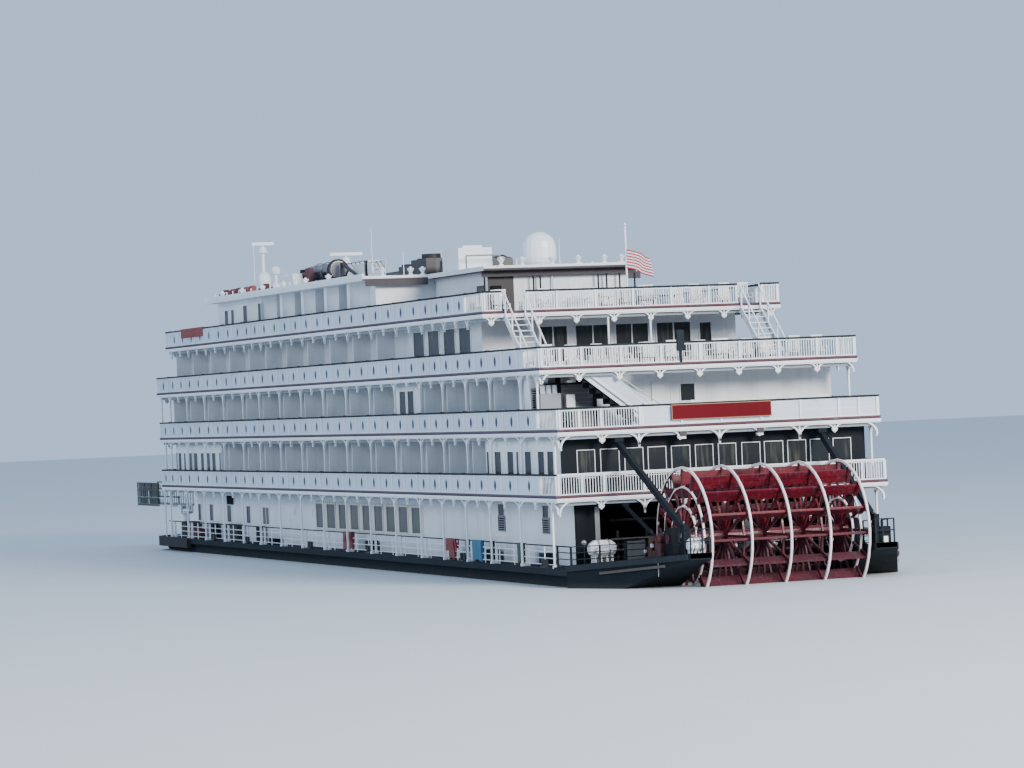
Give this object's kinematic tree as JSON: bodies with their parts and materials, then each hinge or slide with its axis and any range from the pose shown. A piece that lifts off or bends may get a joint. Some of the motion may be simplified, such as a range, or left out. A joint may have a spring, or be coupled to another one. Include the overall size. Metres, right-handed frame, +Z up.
{
  "type": "sternwheel paddle boat, 1:10 scale model",
  "caption": "Scale model of a river cruise paddle boat with galleried decks, a stern wheel, folding smokestacks, rudders, a bow stage and turning radar scanners.",
  "frame": {"origin": "middle of the bounding box in plan, on the flat bottom of the hull", "axes": "+X towards the bow, +Y to port, +Z up"},
  "size_m": [9.11, 1.732, 2.12],
  "materials": {
    "hull_paint": "satin",
    "deck_paint": "matte",
    "fender_rubber": "matte",
    "house_paint": "satin",
    "deck_edge_paint": "satin",
    "rail_paint": "gloss",
    "wheel_paint": "gloss",
    "dark_paint": "satin",
    "stack_metal": "satin",
    "stage_metal": "satin",
    "scanner_plastic": "gloss"
  },
  "bodies": {
    "boat": {"bearing_port": "dark_paint", "bearing_starboard": "dark_paint", "bow_fender": "fender_rubber", "brace_port": "dark_paint", "brace_starboard": "dark_paint", "capsule_arm": "scanner_plastic", "capsule_deck": "scanner_plastic", "deck_five": "deck_edge_paint", "deck_four": "deck_edge_paint", "deck_three": "deck_edge_paint", "deck_two": "deck_edge_paint", "flagstaff": "rail_paint", "gallery_four": "rail_paint", "gallery_one": "rail_paint", "gallery_three": "rail_paint", "gallery_two": "rail_paint", "globe_lamp": "scanner_plastic", "house_five": "house_paint", "house_four": "house_paint", "house_one": "house_paint", "house_three": "house_paint", "house_two": "house_paint", "hull": "hull_paint", "main_deck": "deck_paint", "main_rail": "rail_paint", "mast_aft": "rail_paint", "mast_fore": "rail_paint", "radome": "scanner_plastic", "railing_five": "rail_paint", "railing_five_stern": "rail_paint", "railing_four": "rail_paint", "railing_three": "rail_paint", "railing_two": "rail_paint", "roof": "house_paint", "roof_house": "house_paint", "small_dome": "scanner_plastic", "stack_foot_port": "dark_paint", "stack_foot_starboard": "dark_paint", "stage_post": "stage_metal", "stair_lower": "rail_paint", "stair_port": "rail_paint", "stair_starboard": "rail_paint", "stern_arm_port": "hull_paint", "stern_arm_starboard": "hull_paint"},
    "paddle_wheel": {"wheel_frame": "wheel_paint"},
    "rudder_port": {"rudder_2": "hull_paint"},
    "rudder_starboard": {"rudder_1": "hull_paint"},
    "stack_port": {"stack_port": "stack_metal"},
    "stack_starboard": {"stack_starboard": "stack_metal"},
    "stage_turntable": {"stage_head": "stage_metal"},
    "stage": {"stage_span": "stage_metal"},
    "scanner_fore": {"scanner_fore": "scanner_plastic"},
    "scanner_aft": {"scanner_aft": "scanner_plastic"},
    "stern_door": {"stern_door": "house_paint"}
  },
  "joints": [
    {"name": "wheel_spin", "type": "hinge", "parent": "boat", "child": "paddle_wheel", "pos_m": [-4.209, 0, 0.426], "axis": [0, 1, 0], "continuous": true},
    {"name": "rudder_starboard_turn", "type": "hinge", "parent": "boat", "child": "rudder_starboard", "pos_m": [-3.675, -0.36, 0.11], "axis": [0, 0, 1], "range_deg": [-40, 40]},
    {"name": "rudder_port_turn", "type": "hinge", "parent": "boat", "child": "rudder_port", "pos_m": [-3.675, 0.36, 0.11], "axis": [0, 0, 1], "range_deg": [-40, 40]},
    {"name": "stack_port_raise", "type": "hinge", "parent": "boat", "child": "stack_port", "pos_m": [1.015, 0.5, 1.882], "axis": [0, 1, 0], "range_deg": [0, 90]},
    {"name": "stack_starboard_raise", "type": "hinge", "parent": "boat", "child": "stack_starboard", "pos_m": [1.015, -0.5, 1.882], "axis": [0, 1, 0], "range_deg": [0, 90]},
    {"name": "stage_swing", "type": "hinge", "parent": "boat", "child": "stage_turntable", "pos_m": [3.565, 0.66, 0.455], "axis": [0, 0, 1], "range_deg": [0, 90]},
    {"name": "stage_lift", "type": "hinge", "parent": "stage_turntable", "child": "stage", "pos_m": [3.565, 0.66, 0.478], "axis": [0, -1, 0], "range_deg": [-12, 45]},
    {"name": "scanner_fore_spin", "type": "hinge", "parent": "boat", "child": "scanner_fore", "pos_m": [1.965, 0.53, 2.09], "axis": [0, 0, 1], "continuous": true},
    {"name": "scanner_aft_spin", "type": "hinge", "parent": "boat", "child": "scanner_aft", "pos_m": [1.005, 0.3, 1.971], "axis": [0, 0, 1], "continuous": true},
    {"name": "stern_door_swing", "type": "hinge", "parent": "boat", "child": "stern_door", "pos_m": [-3.3413, 0.065, 1.04], "axis": [0, 0, 1], "range_deg": [0, 110]}
  ],
  "couplings": [
    {"joint": "rudder_port_turn", "follows": "rudder_starboard_turn", "ratio": 1}
  ]
}
